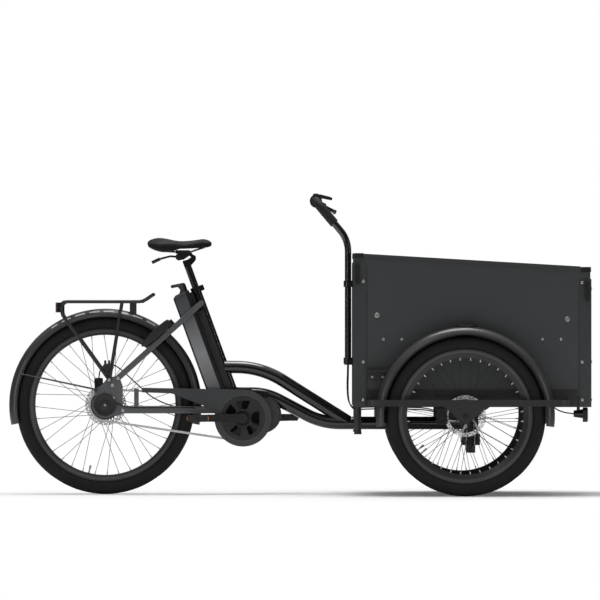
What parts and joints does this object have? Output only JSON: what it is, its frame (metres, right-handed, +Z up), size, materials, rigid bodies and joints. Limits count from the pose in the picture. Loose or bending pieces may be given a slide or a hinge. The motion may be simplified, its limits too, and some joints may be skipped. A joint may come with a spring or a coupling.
{
  "type": "cargo tricycle",
  "caption": "Front-loading electric cargo tricycle: open box between two front wheels swivelling on a kingpin, chain-driven rear wheel, rack and flip saddle.",
  "frame": {"origin": "ground point under the middle of the whole machine", "axes": "+X forward, +Y to the rider's left, +Z up"},
  "size_m": [2.2628, 0.896, 1.1731],
  "materials": {
    "frame_black": "gloss black paint",
    "stay_grey": "dark metallic grey paint",
    "steel_black": "satin black powder coat",
    "box_grey": "satin dark grey panel",
    "rail_grey": "satin dark grey paint",
    "black_plastic": "matte black",
    "gloss_black": "gloss black",
    "tyre": "matte rubber with tread",
    "rim_black": "black anodised with a grey ring",
    "spoke_steel": "grey steel with bright nipples",
    "hub_black": "satin black",
    "rotor_steel": "ground steel",
    "chain_steel": "oiled steel",
    "alloy_black": "black anodised forging",
    "battery_grey": "light metallic grey",
    "saddle_black": "black synthetic leather",
    "grip_rubber": "ribbed black rubber",
    "hose_rubber": "black hose",
    "bumper_rubber": "black rubber",
    "bench_wood": "varnished plywood",
    "bolt_steel": "zinc plated",
    "tail_red": "dark red lens in a black case",
    "lamp_black": "black case with a clear lens"
  },
  "bodies": {
    "frame_body": {"main_frame": "frame_black", "rear_stays": "stay_grey", "dropouts": "stay_grey", "motor_housing": "black_plastic", "chain_guard": "black_plastic", "battery_dock": "black_plastic", "rear_mudguard": "black_plastic", "rear_rack": "steel_black", "tail_light": "tail_red", "ring_lock_case": "black_plastic", "rear_caliper": "alloy_black", "rear_hoses": "hose_rubber", "chain": "chain_steel", "frame_bolts": "bolt_steel", "rear_axle": "bolt_steel"},
    "rear_wheel": {"rear_tyre": "tyre", "rear_rim": "rim_black", "rear_spokes": "spoke_steel", "rear_hub": "hub_black", "rear_rotor": "rotor_steel"},
    "sprocket": {"rear_sprocket": "chain_steel"},
    "cranks": {"crank_arms": "alloy_black", "chainring": "chain_steel"},
    "right_pedal": {"pedal_right": "black_plastic"},
    "left_pedal": {"pedal_left": "black_plastic"},
    "post": {"seat_post": "frame_black"},
    "saddle": {"saddle_cover": "saddle_black", "saddle_frame": "alloy_black"},
    "flip_lever": {"saddle_lever": "black_plastic"},
    "battery": {"battery_pack": "battery_grey"},
    "lock_bolt": {"ring_lock_bolt": "rotor_steel"},
    "carrier": {"box_floor": "box_grey", "box_panels": "box_grey", "corner_posts": "rail_grey", "top_rails": "rail_grey", "corner_caps": "bumper_rubber", "base_frame": "steel_black", "wheel_outriggers": "steel_black", "front_axles": "bolt_steel", "front_mudguards": "black_plastic", "handlebar": "frame_black", "grips": "grip_rubber", "bar_controls": "black_plastic", "headlight": "lamp_black", "benches": "bench_wood", "box_bolts": "bolt_steel", "front_calipers": "alloy_black", "front_hoses": "hose_rubber"},
    "front_left_wheel": {"front_left_tyre": "tyre", "front_left_rim": "rim_black", "front_left_spokes": "spoke_steel", "front_left_hub": "hub_black", "front_left_rotor": "rotor_steel"},
    "front_right_wheel": {"front_right_tyre": "tyre", "front_right_rim": "rim_black", "front_right_spokes": "spoke_steel", "front_right_hub": "hub_black", "front_right_rotor": "rotor_steel"},
    "left_brake_lever": {"brake_lever_left": "alloy_black"},
    "right_brake_lever": {"brake_lever_right": "alloy_black"}
  },
  "joints": [
    {"name": "steering", "type": "hinge", "parent": "frame_body", "child": "carrier", "pos_m": [0.668, 0, 0.255], "axis": [0, 0, 1], "range_deg": [-29.5, 29.5]},
    {"name": "front_left_wheel_spin", "type": "hinge", "parent": "carrier", "child": "front_left_wheel", "pos_m": [0.64, 0.378, 0.309], "axis": [0, 1, 0], "continuous": true},
    {"name": "front_right_wheel_spin", "type": "hinge", "parent": "carrier", "child": "front_right_wheel", "pos_m": [0.64, -0.378, 0.309], "axis": [0, 1, 0], "continuous": true},
    {"name": "rear_wheel_spin", "type": "hinge", "parent": "frame_body", "child": "rear_wheel", "pos_m": [-0.756, 0, 0.3475], "axis": [0, 1, 0], "continuous": true},
    {"name": "crank_spin", "type": "hinge", "parent": "frame_body", "child": "cranks", "pos_m": [-0.21936, 0, 0.297], "axis": [0, 1, 0], "continuous": true, "deforming": ["chain"]},
    {"name": "sprocket_spin", "type": "hinge", "parent": "frame_body", "child": "sprocket", "pos_m": [-0.756, 0, 0.3475], "axis": [0, 1, 0], "continuous": true},
    {"name": "right_pedal_spin", "type": "hinge", "parent": "cranks", "child": "right_pedal", "pos_m": [-0.39436, -0.134, 0.297], "axis": [0, 1, 0], "continuous": true},
    {"name": "left_pedal_spin", "type": "hinge", "parent": "cranks", "child": "left_pedal", "pos_m": [-0.04436, 0.134, 0.297], "axis": [0, 1, 0], "continuous": true},
    {"name": "seat_height", "type": "slide", "parent": "frame_body", "child": "post", "axis": [-0.342, 0, 0.9397], "range_m": [-0.02, 0.1]},
    {"name": "saddle_flip", "type": "hinge", "parent": "post", "child": "saddle", "pos_m": [-0.41297, 0, 0.9225], "axis": [0, 1, 0], "range_deg": [0, 65]},
    {"name": "flip_lever_lift", "type": "hinge", "parent": "saddle", "child": "flip_lever", "pos_m": [-0.46949, -0.015, 0.92428], "axis": [0, 1, 0], "range_deg": [0, 10], "stiffness_Nm_per_rad": 0.8, "springref_deg": -5.73},
    {"name": "battery_lift", "type": "slide", "parent": "frame_body", "child": "battery", "axis": [-0.342, 0, 0.9397], "range_m": [0, 0.05]},
    {"name": "lock_bolt_turn", "type": "hinge", "parent": "frame_body", "child": "lock_bolt", "pos_m": [-0.56216, 0, 0.60961], "axis": [-0.6686, 0, 0.7436], "range_deg": [0, 95]},
    {"name": "left_brake_pull", "type": "hinge", "parent": "carrier", "child": "left_brake_lever", "pos_m": [0.09764, 0.128, 1.12242], "axis": [0.4891, 0, 0.8722], "range_deg": [0, 18], "stiffness_Nm_per_rad": 0.8, "springref_deg": -5.73},
    {"name": "right_brake_pull", "type": "hinge", "parent": "carrier", "child": "right_brake_lever", "pos_m": [0.09764, -0.128, 1.12242], "axis": [-0.4891, 0, -0.8722], "range_deg": [0, 18], "stiffness_Nm_per_rad": 0.8, "springref_deg": -5.73}
  ],
  "couplings": [
    {"joint": "sprocket_spin", "follows": "crank_spin", "ratio": 1.4667}
  ]
}
